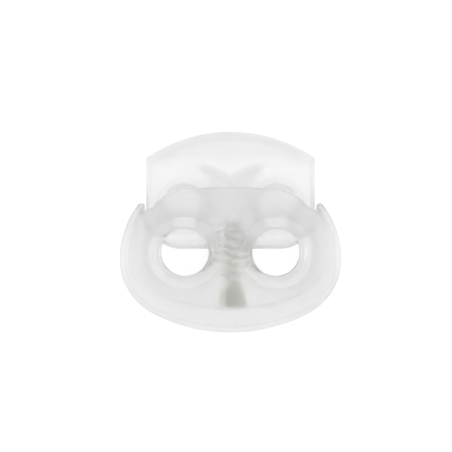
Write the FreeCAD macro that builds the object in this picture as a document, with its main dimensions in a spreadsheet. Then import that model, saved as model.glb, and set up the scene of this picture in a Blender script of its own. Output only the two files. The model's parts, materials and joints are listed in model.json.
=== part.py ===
import FreeCAD, Part
import math
import os

import Sketcher

# Two-hole cord lock, in millimetres, lying on its back with the plunger released.
# +X runs across both cord holes, +Y out of the mouth (the way the plunger points)
# and +Z along the cord holes. The origin is the centre of the bounding box's bottom.
#
# Each piece is drawn about its own origin and then placed:
#   barrel_body     centre of its dome, on the mid-plane of its thickness
#   plunger_button  midway between its two cord holes, on the mid-plane
#   coil_spring     centre of the end that stands on the barrel's floor

SIZES = {
    # barrel outline, heights from the line where the barrel is widest
    "barrel_width": 23.0,
    "barrel_below": 7.57,
    "mouth_above": 7.52,
    "bottom_radius": 17.5,
    "shoulder_radius": 9.2,
    "mouth_radius": 31.4,
    "mouth_corner_radius": 0.5,
    # both walls turn down beside the mouth to a shelf, which leaves a horn at each side
    "turn_radius": 2.7,
    "turn_centre_x": 5.3,
    "shelf_above": 5.1,
    # barrel thickness: flat collars stand above two gently domed faces
    "barrel_depth": 9.0,
    "face_depth": 8.3,
    "dome_radius": 75.0,
    "edge_radius": 0.5,
    # cord holes, shared by the barrel and the plunger
    "hole_spacing": 9.62,
    "hole_above": 0.70,
    "throat_radius": 2.5,
    "funnel_radius": 3.46,
    "funnel_depth": 1.2,
    "collar_radius": 3.8,
    "collar_foot_radius": 4.9,
    "collar_drop": 1.2,
    # low bridge that joins the two collars on each face
    "bridge_height": 4.0,
    "bridge_drop": 0.12,
    # slot for the plunger, with a wider cavity below its lip and a round-cornered floor
    "slot_depth": 5.0,
    "slot_width": 18.1,
    "cavity_width": 19.0,
    "lip_bottom": 5.12,
    "floor_below": 5.20,
    "floor_radius": 15.13,
    # locating pin that the spring stands round
    "pin_radius": 0.75,
    "pin_height": 1.3,
    # plunger
    "travel": 4.76,
    "plunger_width": 17.6,
    "plunger_depth": 4.6,
    "head_above": 7.85,
    "head_radius": 15.5,
    "head_edge_radius": 0.9,
    "plunger_below": 4.37,
    "toe_radius": 3.6,
    "toe_edge_radius": 0.6,
    "plunger_hole_radius": 1.8,
    "plunger_hole_edge": 1.1,
    "lug_reach": 0.5,
    "lug_top": -0.36,
    "lug_height": 0.6,
    "lug_ramp": 1.25,
    "lug_depth": 2.6,
    "lug_root": 0.9,
    # shallow wing-shaped hollow on both faces of the plunger's head
    "wing_depth": 0.5,
    "wing_radius": 5.63,
    "wing_centre_x": 3.45,
    "wing_centre_y": -0.87,
    "wing_half_span": 4.1,
    "plunger_collar_radius": 4.1,
    "wing_neck": 1.0,
    "wing_bottom": 0.85,
    # spring and the pocket that takes its upper end
    "pocket_radius": 1.65,
    "pocket_ceiling": -1.77,
    "spring_radius": 1.27,
    "wire_radius": 0.18,
    "spring_turns": 7.5,
    "spring_end_gap": 0.1,
    # how far a cut or a root runs past the surface that it has to cross
    "overrun": 1.0,
}

# how far off an edge may lie and still count as level or in place
TOLERANCE = 0.01

Z_UP = FreeCAD.Vector(0, 0, 1)
ORIGIN = (-1, 1)
V_AXIS = -2

# half of the height from the barrel's bottom to the released plunger's crown
HALF_HEIGHT = "(sizes.barrel_below + sizes.hole_above + sizes.travel + sizes.head_above) / 2"

doc = FreeCAD.newDocument("cord_lock")


# ---------------------------------------------------------------- helpers

def make_sheet():
    """Put every driving size in a spreadsheet cell with its own alias."""
    sheet = doc.addObject("Spreadsheet::Sheet", "sizes")
    for row, (name, value) in enumerate(SIZES.items(), start=1):
        sheet.set(f"A{row}", name)
        sheet.set(f"B{row}", str(value))
        sheet.setAlias(f"B{row}", name)
    doc.recompute()
    return sheet


def point(x, y):
    return FreeCAD.Vector(x, y, 0)


def line(start, end):
    return Part.LineSegment(point(*start), point(*end))


def arc(centre, radius, start_degrees, end_degrees):
    """Counter-clockwise arc."""
    circle = Part.Circle(point(*centre), Z_UP, radius)
    return Part.ArcOfCircle(circle, math.radians(start_degrees), math.radians(end_degrees))


def direction(start, end):
    """Angle in degrees of the line from start to end."""
    return math.degrees(math.atan2(end[1] - start[1], end[0] - start[0]))


def corner_radius(big_radius, half_width, drop):
    """Radius of the corner between a big arc on the centre line and a straight side.

    The corner's centre lies drop below the big arc's centre.
    """
    spare = big_radius ** 2 - half_width ** 2 - drop ** 2
    return spare / (2 * (big_radius - half_width))


def crossing(first_centre, first_radius, second_centre, second_radius):
    """The right-hand point where two circles cross."""
    across = second_centre[0] - first_centre[0]
    up = second_centre[1] - first_centre[1]
    gap = math.hypot(across, up)
    along = (gap ** 2 + first_radius ** 2 - second_radius ** 2) / (2 * gap)
    aside = math.sqrt(first_radius ** 2 - along ** 2)
    foot = (first_centre[0] + along * across / gap, first_centre[1] + along * up / gap)
    return (foot[0] + aside * abs(up) / gap, foot[1] + aside * across / gap * math.copysign(1, -up))


def make_body(label):
    body = doc.addObject("PartDesign::Body", label)
    body.Label = label
    return body


def make_sketch(body, name, role, lift=None, shift=None):
    """Sketch on one of the body's own planes, lifted along its normal or shifted along X."""
    sketch = body.newObject("Sketcher::SketchObject", name)
    plane = next(f for f in body.Origin.OriginFeatures if f.Role == role)
    sketch.AttachmentSupport = [(plane, "")]
    sketch.MapMode = "FlatFace"
    if lift:
        sketch.setExpression("AttachmentOffset.Base.z", lift)
    if shift:
        sketch.setExpression("AttachmentOffset.Base.x", shift)
    return sketch


def draw_loop(sketch, edges, smooth=(), clockwise=()):
    """Join edges head to tail into a closed loop.

    smooth lists the edges that run into the next one without a corner, and
    clockwise the arcs that the loop follows against their own direction.
    """
    first = sketch.GeometryCount
    sketch.addGeometry(edges, False)
    for index in range(len(edges)):
        follower = (index + 1) % len(edges)
        tail = 1 if index in clockwise else 2
        head = 2 if follower in clockwise else 1
        kind = "Tangent" if index in smooth else "Coincident"
        joint = (first + index, tail, first + follower, head)
        sketch.addConstraint(Sketcher.Constraint(kind, *joint))
    return first


def bind(sketch, kind, *where, to):
    """Add a driving dimension whose value is an expression of the sheet."""
    value = float(sketch.evalExpression(to))
    index = sketch.addConstraint(Sketcher.Constraint(kind, *where, value))
    sketch.setExpression(f"Constraints[{index}]", to)


def fix(sketch, kind, *where):
    sketch.addConstraint(Sketcher.Constraint(kind, *where))


def add_feature(body, kind, name, sketch=None, **settings):
    feature = body.newObject(f"PartDesign::{kind}", name)
    if sketch:
        feature.Profile = sketch
    for key, value in settings.items():
        setattr(feature, key, value)
    return feature


def add_pad(body, name, sketch, length, **settings):
    pad = add_feature(body, "Pad", name, sketch, **settings)
    pad.setExpression("Length", length)
    return pad


def add_pocket(body, name, sketch, length, **settings):
    pocket = add_feature(body, "Pocket", name, sketch, **settings)
    pocket.setExpression("Length", length)
    return pocket


def add_turned(body, kind, name, sketch):
    """Revolution or Groove of a half-section about the sketch's own upright axis."""
    return add_feature(body, kind, name, sketch, ReferenceAxis=(sketch, ["V_Axis"]), Angle=360.0)


def add_mirror(body, name, originals, role):
    plane = next(f for f in body.Origin.OriginFeatures if f.Role == role)
    mirror = add_feature(body, "Mirrored", name, Originals=originals, MirrorPlane=(plane, [""]))
    body.Tip = mirror
    doc.recompute()
    return mirror


def add_fillet(body, name, choose, radius):
    """Round every edge of the tip for which choose(edge) is true."""
    doc.recompute()
    tip = body.Tip
    names = [f"Edge{i}" for i, edge in enumerate(tip.Shape.Edges, start=1) if choose(edge)]
    if not names:
        raise ValueError(f"{name}: no edge to round")
    fillet = add_feature(body, "Fillet", name, Base=(tip, names))
    fillet.setExpression("Radius", radius)
    doc.recompute()
    return fillet


def middle(edge):
    """Point halfway along an edge."""
    return edge.valueAt((edge.FirstParameter + edge.LastParameter) / 2)


def is_upright(edge):
    ends = [vertex.Point for vertex in edge.Vertexes]
    return len(ends) == 2 and (ends[0] - ends[1]).cross(Z_UP).Length < TOLERANCE


# ---------------------------------------------------------------- barrel_body

def draw_barrel_outline(body):
    """Flat oval: bottom arc, round sides, tighter shoulders and a bowed mouth."""
    half = SIZES["barrel_width"] / 2
    bottom, shoulder, mouth = (SIZES[f"{part}_radius"] for part in ("bottom", "shoulder", "mouth"))
    bottom_centre = (0, bottom - SIZES["barrel_below"])
    side = corner_radius(bottom, half, bottom_centre[1])
    mouth_centre = (0, SIZES["mouth_above"] - mouth)
    lean = direction(bottom_centre, (half - side, 0))
    corner = crossing((half - shoulder, 0), shoulder, mouth_centre, mouth)
    rise = direction((half - shoulder, 0), corner)
    bow = direction(mouth_centre, corner)
    sketch = make_sketch(body, "barrel_outline", "XY_Plane")
    edges = [
        arc(bottom_centre, bottom, -180 - lean, lean),
        arc((half - side, 0), side, lean, 0),
        arc((half - shoulder, 0), shoulder, 0, rise),
        arc(mouth_centre, mouth, bow, 180 - bow),
        arc((shoulder - half, 0), shoulder, 180 - rise, 180),
        arc((side - half, 0), side, 180, 180 - lean),
    ]
    draw_loop(sketch, edges, smooth=(0, 1, 4, 5))
    bottom_arc, right_side, right_shoulder, mouth_arc, left_shoulder, left_side = range(6)
    for centred in (bottom_arc, mouth_arc):
        fix(sketch, "PointOnObject", centred, 3, V_AXIS)
    fix(sketch, "Symmetric", right_side, 3, left_side, 3, V_AXIS)
    fix(sketch, "Symmetric", right_shoulder, 3, left_shoulder, 3, V_AXIS)
    fix(sketch, "PointOnObject", right_side, 3, -1)
    fix(sketch, "PointOnObject", right_shoulder, 3, -1)
    bind(sketch, "Radius", bottom_arc, to="sizes.bottom_radius")
    bind(sketch, "Radius", right_shoulder, to="sizes.shoulder_radius")
    bind(sketch, "Radius", mouth_arc, to="sizes.mouth_radius")
    bind(sketch, "DistanceY", *ORIGIN, bottom_arc, 3, to="sizes.bottom_radius - sizes.barrel_below")
    bind(sketch, "DistanceY", mouth_arc, 3, *ORIGIN, to="sizes.mouth_radius - sizes.mouth_above")
    bind(sketch, "DistanceX", *ORIGIN, right_side, 2, to="sizes.barrel_width / 2")
    return sketch


def draw_dome_waste(body):
    """Half-sections of what lies above the front dome and below the back one."""
    radius = SIZES["dome_radius"]
    crown = SIZES["face_depth"] / 2
    reach = SIZES["barrel_width"]
    sag_angle = math.degrees(math.asin(reach / radius))
    drop = radius - math.sqrt(radius ** 2 - reach ** 2)
    sketch = make_sketch(body, "dome_waste", "XZ_Plane")
    for side in (1, -1):
        top = side * crown
        far = (reach, side * (crown - drop))
        high = side * 2 * crown
        centre = (0, side * (crown - radius))
        if side > 0:
            curve = arc(centre, radius, 90 - sag_angle, 90)
        else:
            curve = arc(centre, radius, -90, -90 + sag_angle)
        edges = [
            curve,
            line((0, top), (0, high)),
            line((0, high), (reach, high)),
            line((reach, high), far),
        ]
        first = draw_loop(sketch, edges, clockwise=() if side > 0 else (0,))
        dome, axis_side, top_side, far_side = range(first, first + 4)
        fix(sketch, "PointOnObject", dome, 3, V_AXIS)
        fix(sketch, "Vertical", axis_side)
        fix(sketch, "Horizontal", top_side)
        fix(sketch, "Vertical", far_side)
        fix(sketch, "PointOnObject", axis_side, 1, V_AXIS)
        bind(sketch, "Radius", dome, to="sizes.dome_radius")
        low_to_high = (ORIGIN, (axis_side, 1)) if side > 0 else ((axis_side, 1), ORIGIN)
        bind(sketch, "DistanceY", *low_to_high[0], *low_to_high[1], to="sizes.face_depth / 2")
        low_to_high = (ORIGIN, (axis_side, 2)) if side > 0 else ((axis_side, 2), ORIGIN)
        bind(sketch, "DistanceY", *low_to_high[0], *low_to_high[1], to="sizes.face_depth")
        bind(sketch, "DistanceX", *ORIGIN, far_side, 1, to="sizes.barrel_width")
    return sketch


def draw_collar(body):
    """Half-section of the disc that carries one cord hole's collars."""
    land = SIZES["barrel_depth"] / 2
    top_radius = SIZES["collar_radius"]
    foot_radius = SIZES["collar_foot_radius"]
    foot = land - SIZES["collar_drop"]
    sketch = make_sketch(
        body, "collar_section", "XZ_Plane", lift="-sizes.hole_above", shift="sizes.hole_spacing / 2")
    edges = [
        line((0, -land), (top_radius, -land)),
        line((top_radius, -land), (foot_radius, -foot)),
        line((foot_radius, -foot), (foot_radius, foot)),
        line((foot_radius, foot), (top_radius, land)),
        line((top_radius, land), (0, land)),
        line((0, land), (0, -land)),
    ]
    back_land, back_slope, side, front_slope, front_land, axis = range(6)
    draw_loop(sketch, edges)
    fix(sketch, "Horizontal", back_land)
    fix(sketch, "PointOnObject", axis, 1, V_AXIS)
    fix(sketch, "Symmetric", axis, 1, axis, 2, -1)
    fix(sketch, "Symmetric", back_slope, 1, front_slope, 2, -1)
    fix(sketch, "Symmetric", back_slope, 2, front_slope, 1, -1)
    bind(sketch, "DistanceY", *ORIGIN, front_land, 2, to="sizes.barrel_depth / 2")
    bind(sketch, "DistanceX", *ORIGIN, front_land, 1, to="sizes.collar_radius")
    bind(sketch, "DistanceX", *ORIGIN, side, 2, to="sizes.collar_foot_radius")
    bind(sketch, "DistanceY", front_slope, 1, front_slope, 2, to="sizes.collar_drop")
    return sketch


def draw_cord_hole(body):
    """Half-section of one cord hole: a straight throat that flares at both faces."""
    land = SIZES["barrel_depth"] / 2
    throat = SIZES["throat_radius"]
    mouth = SIZES["funnel_radius"]
    depth = SIZES["funnel_depth"]
    flare = ((mouth - throat) ** 2 + depth ** 2) / (2 * (mouth - throat))
    turn = math.degrees(math.asin(depth / flare))
    sketch = make_sketch(
        body, "cord_hole_section", "XZ_Plane", lift="-sizes.hole_above", shift="sizes.hole_spacing / 2")
    edges = [
        line((0, -land), (mouth, -land)),
        arc((throat + flare, depth - land), flare, 180, 180 + turn),
        line((throat, depth - land), (throat, land - depth)),
        arc((throat + flare, land - depth), flare, 180 - turn, 180),
        line((mouth, land), (0, land)),
        line((0, land), (0, -land)),
    ]
    back_face, back_flare, throat_wall, front_flare, front_face, axis = range(6)
    draw_loop(sketch, edges, smooth=(1, 2), clockwise=(1, 3))
    fix(sketch, "Horizontal", back_face)
    fix(sketch, "PointOnObject", axis, 1, V_AXIS)
    fix(sketch, "Symmetric", axis, 1, axis, 2, -1)
    fix(sketch, "Symmetric", back_face, 2, front_face, 1, -1)
    fix(sketch, "Symmetric", throat_wall, 1, throat_wall, 2, -1)
    bind(sketch, "DistanceY", *ORIGIN, front_face, 2, to="sizes.barrel_depth / 2")
    bind(sketch, "DistanceX", *ORIGIN, front_face, 1, to="sizes.funnel_radius")
    bind(sketch, "DistanceX", *ORIGIN, throat_wall, 2, to="sizes.throat_radius")
    bind(sketch, "DistanceY", throat_wall, 2, front_face, 1, to="sizes.funnel_depth")
    return sketch


def draw_shoulder_notch(body):
    """What is cut away beside the mouth on the right: everything above the shelf."""
    mouth = SIZES["mouth_radius"]
    turn = SIZES["turn_radius"]
    shelf = SIZES["shelf_above"]
    lip = SIZES["slot_width"] / 2
    high = SIZES["mouth_above"] + SIZES["overrun"]
    mouth_centre = (0, SIZES["mouth_above"] - mouth)
    turn_x = SIZES["turn_centre_x"]
    centre = (turn_x, mouth_centre[1] + math.sqrt((mouth - turn) ** 2 - turn_x ** 2))
    shelf_angle = math.degrees(math.asin((shelf - centre[1]) / turn))
    foot = (turn_x + turn * math.cos(math.radians(shelf_angle)), shelf)
    arch_angle = direction(mouth_centre, centre)
    start = (turn_x * mouth / (mouth - turn), centre[1] + turn * math.sin(math.radians(arch_angle)))
    sketch = make_sketch(body, "shoulder_notch_outline", "XY_Plane")
    edges = [
        arc(centre, turn, shelf_angle, arch_angle),
        line(start, (start[0], high)),
        line((start[0], high), (lip, high)),
        line((lip, high), (lip, shelf)),
        line((lip, shelf), foot),
    ]
    draw_loop(sketch, edges)
    wall_turn, inside, top, horn_side, shelf_side = range(5)
    fix(sketch, "Vertical", inside)
    fix(sketch, "Horizontal", top)
    fix(sketch, "Vertical", horn_side)
    fix(sketch, "Horizontal", shelf_side)
    bind(sketch, "Radius", wall_turn, to="sizes.turn_radius")
    bind(sketch, "DistanceX", *ORIGIN, wall_turn, 3, to="sizes.turn_centre_x")
    bind(
        sketch, "DistanceY", *ORIGIN, wall_turn, 3,
        to="sizes.mouth_above - sizes.mouth_radius + "
        "sqrt((sizes.mouth_radius - sizes.turn_radius) ^ 2 - sizes.turn_centre_x ^ 2)")
    bind(
        sketch, "DistanceX", *ORIGIN, inside, 1,
        to="sizes.turn_centre_x * sizes.mouth_radius / (sizes.mouth_radius - sizes.turn_radius)")
    bind(sketch, "DistanceX", *ORIGIN, horn_side, 1, to="sizes.slot_width / 2")
    bind(sketch, "DistanceY", *ORIGIN, horn_side, 1, to="sizes.mouth_above + sizes.overrun")
    bind(sketch, "DistanceY", *ORIGIN, shelf_side, 1, to="sizes.shelf_above")
    return sketch


def draw_bridge(body):
    """Rectangle from one cord hole's centre to the other's."""
    right = SIZES["hole_spacing"] / 2
    high = SIZES["hole_above"] + SIZES["bridge_height"] / 2
    low = SIZES["hole_above"] - SIZES["bridge_height"] / 2
    sketch = make_sketch(body, "bridge_outline", "XY_Plane")
    edges = [
        line((-right, low), (right, low)),
        line((right, low), (right, high)),
        line((right, high), (-right, high)),
        line((-right, high), (-right, low)),
    ]
    bottom, right_side, top, left_side = range(4)
    draw_loop(sketch, edges)
    fix(sketch, "Horizontal", bottom)
    fix(sketch, "Vertical", right_side)
    fix(sketch, "Vertical", left_side)
    fix(sketch, "Symmetric", top, 1, top, 2, V_AXIS)
    bind(sketch, "DistanceX", *ORIGIN, right_side, 1, to="sizes.hole_spacing / 2")
    bind(sketch, "DistanceY", *ORIGIN, right_side, 1, to="sizes.hole_above - sizes.bridge_height / 2")
    bind(sketch, "DistanceY", right_side, 1, right_side, 2, to="sizes.bridge_height")
    return sketch


def draw_slot(body):
    """The plunger's slot and the wider cavity below its lip."""
    high = SIZES["mouth_above"] + SIZES["overrun"]
    lip = SIZES["slot_width"] / 2
    lip_bottom = SIZES["lip_bottom"]
    wide = SIZES["cavity_width"] / 2
    floor = SIZES["floor_radius"]
    floor_centre = (0, floor - SIZES["floor_below"])
    corner = corner_radius(floor, wide, floor_centre[1])
    lean = direction(floor_centre, (wide - corner, 0))
    sketch = make_sketch(body, "slot_outline", "XY_Plane")
    right_side = [
        arc((wide - corner, 0), corner, lean, 0),
        line((wide, 0), (wide, lip_bottom)),
        line((wide, lip_bottom), (lip, lip_bottom)),
        line((lip, lip_bottom), (lip, high)),
    ]
    left_side = [
        line((-lip, high), (-lip, lip_bottom)),
        line((-lip, lip_bottom), (-wide, lip_bottom)),
        line((-wide, lip_bottom), (-wide, 0)),
        arc((corner - wide, 0), corner, 180, 180 - lean),
    ]
    floor_arc = arc(floor_centre, floor, -180 - lean, lean)
    top = line((lip, high), (-lip, high))
    draw_loop(sketch, [floor_arc, *right_side, top, *left_side], smooth=(0, 1, 8, 9))
    right_corner, cavity_wall, lip_side, slot_wall = range(1, 5)
    left_corner = 9
    fix(sketch, "PointOnObject", 0, 3, V_AXIS)
    fix(sketch, "PointOnObject", right_corner, 3, -1)
    fix(sketch, "Symmetric", right_corner, 3, left_corner, 3, V_AXIS)
    fix(sketch, "Vertical", cavity_wall)
    fix(sketch, "Horizontal", lip_side)
    fix(sketch, "Vertical", slot_wall)
    for right in (cavity_wall, lip_side, slot_wall):
        fix(sketch, "Symmetric", right, 2, 10 - right, 1, V_AXIS)
    bind(sketch, "Radius", 0, to="sizes.floor_radius")
    bind(sketch, "DistanceY", *ORIGIN, 0, 3, to="sizes.floor_radius - sizes.floor_below")
    bind(sketch, "DistanceX", *ORIGIN, cavity_wall, 2, to="sizes.cavity_width / 2")
    bind(sketch, "DistanceX", *ORIGIN, lip_side, 2, to="sizes.slot_width / 2")
    bind(sketch, "DistanceY", *ORIGIN, cavity_wall, 2, to="sizes.lip_bottom")
    bind(sketch, "DistanceY", *ORIGIN, slot_wall, 2, to="sizes.mouth_above + sizes.overrun")
    return sketch


def draw_circle(body, name, role, radius, **where):
    sketch = make_sketch(body, name, role, **where)
    start = float(sketch.evalExpression(radius))
    sketch.addGeometry(Part.Circle(point(0, 0), Z_UP, start), False)
    fix(sketch, "Coincident", 0, 3, *ORIGIN)
    bind(sketch, "Radius", 0, to=radius)
    return sketch


def make_barrel():
    """The housing: a domed oval with collared cord holes, slotted from its mouth."""
    body = make_body("barrel_body")
    half_face = SIZES["face_depth"] / 2
    add_pad(body, "blank", draw_barrel_outline(body), "sizes.face_depth", SideType="Symmetric")
    add_fillet(
        body, "mouth_corners",
        lambda edge: is_upright(edge) and middle(edge).y > SIZES["lip_bottom"],
        "sizes.mouth_corner_radius")
    add_turned(body, "Groove", "domes", draw_dome_waste(body))
    add_fillet(
        body, "outer_edges",
        lambda edge: not is_upright(edge) and abs(middle(edge).z) < half_face - TOLERANCE,
        "sizes.edge_radius")
    notch = add_pocket(
        body, "shoulder_notch", draw_shoulder_notch(body), "sizes.face_depth",
        SideType="Symmetric")
    add_mirror(body, "both_shoulder_notches", [notch], "YZ_Plane")
    add_pad(
        body, "bridge", draw_bridge(body), "sizes.barrel_depth - 2 * sizes.bridge_drop",
        SideType="Symmetric")
    collar = add_turned(body, "Revolution", "collar", draw_collar(body))
    hole = add_turned(body, "Groove", "cord_hole", draw_cord_hole(body))
    add_mirror(body, "both_holes", [collar, hole], "YZ_Plane")
    add_pocket(body, "slot", draw_slot(body), "sizes.slot_depth", SideType="Symmetric")
    pin = draw_circle(
        body, "pin_section", "XZ_Plane", "sizes.pin_radius",
        lift="sizes.floor_below - sizes.pin_height")
    add_pad(body, "spring_pin", pin, "sizes.pin_height + sizes.overrun")
    body.setExpression("Placement.Base.y", "sizes.barrel_below - " + HALF_HEIGHT)
    body.setExpression("Placement.Base.z", "sizes.barrel_depth / 2")
    return body


# ---------------------------------------------------------------- plunger_button

def draw_plunger_outline(body):
    """Straight-sided button with an arched head and round toes."""
    half = SIZES["plunger_width"] / 2
    toe = SIZES["toe_radius"]
    head = SIZES["head_radius"]
    foot = -SIZES["plunger_below"]
    head_centre = (0, SIZES["head_above"] - head)
    lift_angle = math.degrees(math.acos(half / head))
    shoulder = head_centre[1] + head * math.sin(math.radians(lift_angle))
    sketch = make_sketch(body, "plunger_outline", "XY_Plane")
    edges = [
        line((toe - half, foot), (half - toe, foot)),
        arc((half - toe, foot + toe), toe, -90, 0),
        line((half, foot + toe), (half, shoulder)),
        arc(head_centre, head, lift_angle, 180 - lift_angle),
        line((-half, shoulder), (-half, foot + toe)),
        arc((toe - half, foot + toe), toe, 180, 270),
    ]
    sole, right_toe, right_side, crown, left_side, left_toe = range(6)
    draw_loop(sketch, edges, smooth=(sole, right_toe, left_side, left_toe))
    fix(sketch, "Horizontal", sole)
    fix(sketch, "Vertical", right_side)
    fix(sketch, "Vertical", left_side)
    fix(sketch, "PointOnObject", crown, 3, V_AXIS)
    fix(sketch, "Symmetric", right_toe, 3, left_toe, 3, V_AXIS)
    bind(sketch, "Radius", right_toe, to="sizes.toe_radius")
    bind(sketch, "Radius", crown, to="sizes.head_radius")
    bind(sketch, "DistanceY", crown, 3, *ORIGIN, to="sizes.head_radius - sizes.head_above")
    bind(sketch, "DistanceX", *ORIGIN, crown, 1, to="sizes.plunger_width / 2")
    bind(sketch, "DistanceY", sole, 1, *ORIGIN, to="sizes.plunger_below")
    return sketch


def draw_lug(body):
    """Snap lug on the right side: square on top, ramped below so that it pushes in."""
    root = SIZES["plunger_width"] / 2 - SIZES["lug_root"]
    tip = SIZES["plunger_width"] / 2 + SIZES["lug_reach"]
    top = SIZES["lug_top"]
    step = top - SIZES["lug_height"]
    sketch = make_sketch(body, "lug_outline", "XY_Plane")
    edges = [
        line((root, step - SIZES["lug_ramp"]), (tip, step)),
        line((tip, step), (tip, top)),
        line((tip, top), (root, top)),
        line((root, top), (root, step - SIZES["lug_ramp"])),
    ]
    ramp, face, shelf, inside = range(4)
    draw_loop(sketch, edges)
    fix(sketch, "Vertical", face)
    fix(sketch, "Horizontal", shelf)
    fix(sketch, "Vertical", inside)
    bind(sketch, "DistanceX", *ORIGIN, inside, 1, to="sizes.plunger_width / 2 - sizes.lug_root")
    bind(sketch, "DistanceX", *ORIGIN, shelf, 1, to="sizes.plunger_width / 2 + sizes.lug_reach")
    bind(sketch, "DistanceY", shelf, 1, *ORIGIN, to="-sizes.lug_top")
    bind(sketch, "DistanceY", ramp, 2, shelf, 1, to="sizes.lug_height")
    bind(sketch, "DistanceY", ramp, 1, ramp, 2, to="sizes.lug_ramp")
    return sketch


def draw_plunger_holes(body):
    sketch = make_sketch(body, "plunger_holes_outline", "XY_Plane")
    half = SIZES["hole_spacing"] / 2
    radius = SIZES["plunger_hole_radius"]
    sketch.addGeometry([Part.Circle(point(x, 0), Z_UP, radius) for x in (half, -half)], False)
    fix(sketch, "Equal", 0, 1)
    fix(sketch, "PointOnObject", 0, 3, -1)
    fix(sketch, "Symmetric", 0, 3, 1, 3, V_AXIS)
    bind(sketch, "Radius", 0, to="sizes.plunger_hole_radius")
    bind(sketch, "DistanceX", *ORIGIN, 0, 3, to="sizes.hole_spacing / 2")
    return sketch


def draw_wings(body):
    """Outline of the hollow between the head and the two hole collars, like spread wings."""
    collar_x = SIZES["hole_spacing"] / 2
    collar = SIZES["plunger_collar_radius"]
    wing = SIZES["wing_radius"]
    wing_centre = (SIZES["wing_centre_x"], SIZES["wing_centre_y"])
    span = SIZES["wing_half_span"]
    neck = SIZES["wing_neck"]
    neck_point = (neck, math.sqrt(collar ** 2 - (collar_x - neck) ** 2))
    low_tip = (span, math.sqrt(collar ** 2 - (collar_x - span) ** 2))
    high_tip = (span, wing_centre[1] + math.sqrt(wing ** 2 - (span - wing_centre[0]) ** 2))
    cusp = (0, wing_centre[1] + math.sqrt(wing ** 2 - wing_centre[0] ** 2))
    low = (0, SIZES["wing_bottom"])
    neck_angle = direction((collar_x, 0), neck_point)
    low_angle = direction((collar_x, 0), low_tip)
    high_angle = direction(wing_centre, high_tip)
    cusp_angle = direction(wing_centre, cusp)

    def mirrored(place):
        return (-place[0], place[1])

    sketch = make_sketch(body, "wings_outline", "XY_Plane", lift="sizes.plunger_depth / 2")
    edges = [
        line(low, neck_point),
        arc((collar_x, 0), collar, low_angle, neck_angle),
        line(low_tip, high_tip),
        arc(wing_centre, wing, high_angle, cusp_angle),
        arc(mirrored(wing_centre), wing, 180 - cusp_angle, 180 - high_angle),
        line(mirrored(high_tip), mirrored(low_tip)),
        arc((-collar_x, 0), collar, 180 - neck_angle, 180 - low_angle),
        line(mirrored(neck_point), low),
    ]
    draw_loop(sketch, edges, clockwise=(1, 6))
    right_neck, right_collar, right_tip, right_wing = range(4)
    left_wing, left_tip, left_collar, left_neck = range(4, 8)
    fix(sketch, "PointOnObject", right_neck, 1, V_AXIS)
    fix(sketch, "Vertical", right_tip)
    fix(sketch, "Vertical", left_tip)
    fix(sketch, "PointOnObject", right_collar, 3, -1)
    fix(sketch, "Symmetric", right_collar, 3, left_collar, 3, V_AXIS)
    fix(sketch, "Symmetric", right_wing, 3, left_wing, 3, V_AXIS)
    fix(sketch, "Equal", right_collar, left_collar)
    fix(sketch, "Equal", right_wing, left_wing)
    bind(sketch, "Radius", right_collar, to="sizes.plunger_collar_radius")
    bind(sketch, "Radius", right_wing, to="sizes.wing_radius")
    bind(sketch, "DistanceX", *ORIGIN, right_collar, 3, to="sizes.hole_spacing / 2")
    bind(sketch, "DistanceX", *ORIGIN, right_wing, 3, to="sizes.wing_centre_x")
    bind(sketch, "DistanceY", right_wing, 3, *ORIGIN, to="-sizes.wing_centre_y")
    bind(sketch, "DistanceY", *ORIGIN, right_neck, 1, to="sizes.wing_bottom")
    bind(sketch, "DistanceX", *ORIGIN, right_neck, 2, to="sizes.wing_neck")
    bind(sketch, "DistanceX", left_neck, 1, *ORIGIN, to="sizes.wing_neck")
    bind(sketch, "DistanceX", *ORIGIN, right_tip, 1, to="sizes.wing_half_span")
    bind(sketch, "DistanceX", left_tip, 2, *ORIGIN, to="sizes.wing_half_span")
    return sketch


def make_plunger():
    """The button: two cord holes, a spring pocket from below and a snap lug each side."""
    body = make_body("plunger_button")
    half_depth = SIZES["plunger_depth"] / 2
    head_corner = SIZES["head_radius"] ** 2 - (SIZES["plunger_width"] / 2) ** 2
    head_low = SIZES["head_above"] - SIZES["head_radius"] + math.sqrt(head_corner)
    add_pad(
        body, "button", draw_plunger_outline(body), "sizes.plunger_depth", SideType="Symmetric")
    add_fillet(
        body, "head_edges",
        lambda edge: not is_upright(edge) and middle(edge).y > head_low,
        "sizes.head_edge_radius")
    add_fillet(
        body, "toe_edges",
        lambda edge: not is_upright(edge) and abs(middle(edge).z) > half_depth - TOLERANCE
        and middle(edge).y < head_low - SIZES["head_edge_radius"],
        "sizes.toe_edge_radius")
    lug = add_pad(body, "lug", draw_lug(body), "sizes.lug_depth", SideType="Symmetric")
    add_mirror(body, "both_lugs", [lug], "YZ_Plane")
    add_pocket(body, "plunger_holes", draw_plunger_holes(body), "sizes.plunger_depth",
               SideType="Symmetric")
    add_fillet(
        body, "hole_edges",
        lambda edge: edge.Curve.TypeId == "Part::GeomCircle" and len(edge.Vertexes) == 1
        and abs(abs(edge.Curve.Center.z) - half_depth) < TOLERANCE,
        "sizes.plunger_hole_edge")
    wings = add_pocket(body, "wings", draw_wings(body), "sizes.wing_depth")
    add_mirror(body, "both_wings", [wings], "XY_Plane")
    pocket = draw_circle(
        body, "pocket_section", "XZ_Plane", "sizes.pocket_radius", lift="sizes.plunger_below")
    add_pocket(body, "spring_pocket", pocket, "sizes.plunger_below + sizes.pocket_ceiling")
    body.setExpression(
        "Placement.Base.y",
        "sizes.barrel_below + sizes.hole_above + sizes.travel - " + HALF_HEIGHT)
    body.setExpression("Placement.Base.z", "sizes.barrel_depth / 2")
    return body


# ---------------------------------------------------------------- coil_spring

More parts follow.
